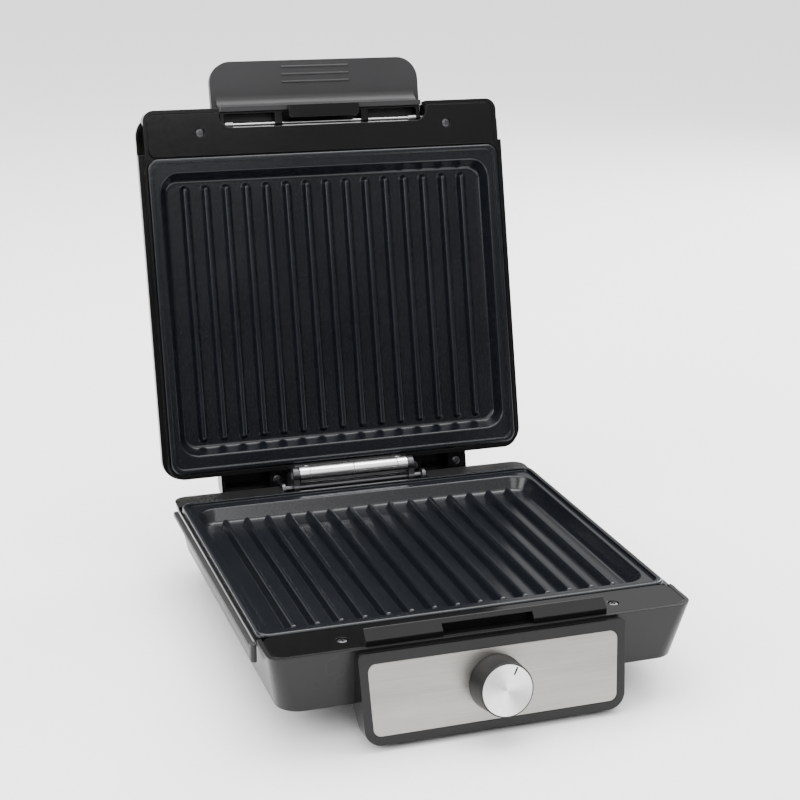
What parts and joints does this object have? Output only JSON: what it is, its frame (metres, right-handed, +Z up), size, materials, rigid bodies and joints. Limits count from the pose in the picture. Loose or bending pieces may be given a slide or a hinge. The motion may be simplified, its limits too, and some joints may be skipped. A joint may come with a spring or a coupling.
{
  "type": "panini press",
  "caption": "Countertop contact grill with two ribbed plates, a hinged lid with a latching handle and a thermostat knob, shown open.",
  "frame": {"origin": "on the counter, below the centre of the open press's bounding box", "axes": "+Z up from the counter, -Y towards the person at the handle and knob, +X to that person's right"},
  "size_m": [0.311, 0.4644, 0.3958],
  "materials": {
    "dark_grey_plastic": "satin moulded plastic, dark grey",
    "gloss_black_plastic": "polished black plastic",
    "nonstick_coating": "cast aluminium with a dark blue-grey non-stick coating and a fine speckle",
    "brushed_steel": "stainless steel brushed along X",
    "spun_aluminium": "bare aluminium",
    "chrome": "polished plating",
    "zinc_plated_steel": "plated steel",
    "rubber": "black rubber",
    "ceramic": "unglazed white ceramic"
  },
  "bodies": {
    "base": {"base_housing": "dark_grey_plastic", "bottom_cover": "dark_grey_plastic", "bottom_cover_screws": "zinc_plated_steel", "rubber_feet": "rubber", "foot_screws": "zinc_plated_steel", "base_deck": "gloss_black_plastic", "base_deck_screws": "zinc_plated_steel", "latch_bar": "gloss_black_plastic", "base_rail_right": "gloss_black_plastic", "base_rail_left": "gloss_black_plastic", "lower_grill_plate": "nonstick_coating", "lower_heating_element": "zinc_plated_steel", "lower_reflector": "spun_aluminium", "lower_plate_screws": "zinc_plated_steel", "panel_bezel": "gloss_black_plastic", "steel_fascia": "brushed_steel", "thermostat_body": "dark_grey_plastic", "terminal_block": "ceramic", "thermal_fuse": "zinc_plated_steel", "cord_gland": "rubber", "hinge_pin": "zinc_plated_steel", "hinge_bracket_right": "zinc_plated_steel", "hinge_bracket_left": "zinc_plated_steel"},
    "knob": {"knob_body": "dark_grey_plastic", "knob_face": "spun_aluminium", "knob_pointer": "gloss_black_plastic", "thermostat_shaft": "zinc_plated_steel"},
    "lid": {"upper_grill_plate": "nonstick_coating", "upper_heating_element": "zinc_plated_steel", "upper_reflector": "spun_aluminium", "upper_plate_screws": "zinc_plated_steel", "lid_frame": "gloss_black_plastic", "lid_deck": "gloss_black_plastic", "lid_deck_screws": "zinc_plated_steel", "lid_cover": "brushed_steel", "hinge_block": "dark_grey_plastic", "hinge_block_screws": "zinc_plated_steel", "hinge_arm_right": "zinc_plated_steel", "hinge_arm_left": "zinc_plated_steel", "hinge_tie_rod": "zinc_plated_steel", "hinge_tube_right": "chrome", "hinge_tube_left": "chrome", "hinge_collar_right": "chrome", "hinge_collar_left": "chrome", "handle_pin": "zinc_plated_steel", "handle_spring_right": "zinc_plated_steel", "handle_spring_left": "zinc_plated_steel"},
    "handle_lever": {"handle": "dark_grey_plastic", "latch_hook": "gloss_black_plastic"}
  },
  "joints": [
    {"name": "lid_hinge", "type": "hinge", "parent": "base", "child": "lid", "pos_m": [0, 0.11415, 0.0615], "axis": [1, 0, 0], "range_deg": [0, 104]},
    {"name": "handle_latch", "type": "hinge", "parent": "lid", "child": "handle_lever", "pos_m": [0, 0.20444, 0.34756], "axis": [-1, 0, 0], "range_deg": [0, 25], "stiffness_Nm_per_rad": 0.5, "springref_deg": -20.05},
    {"name": "knob_turn", "type": "hinge", "parent": "base", "child": "knob", "pos_m": [0, -0.20994, 0.035], "axis": [0, 0.9844, -0.1761], "range_deg": [0, 270]}
  ]
}
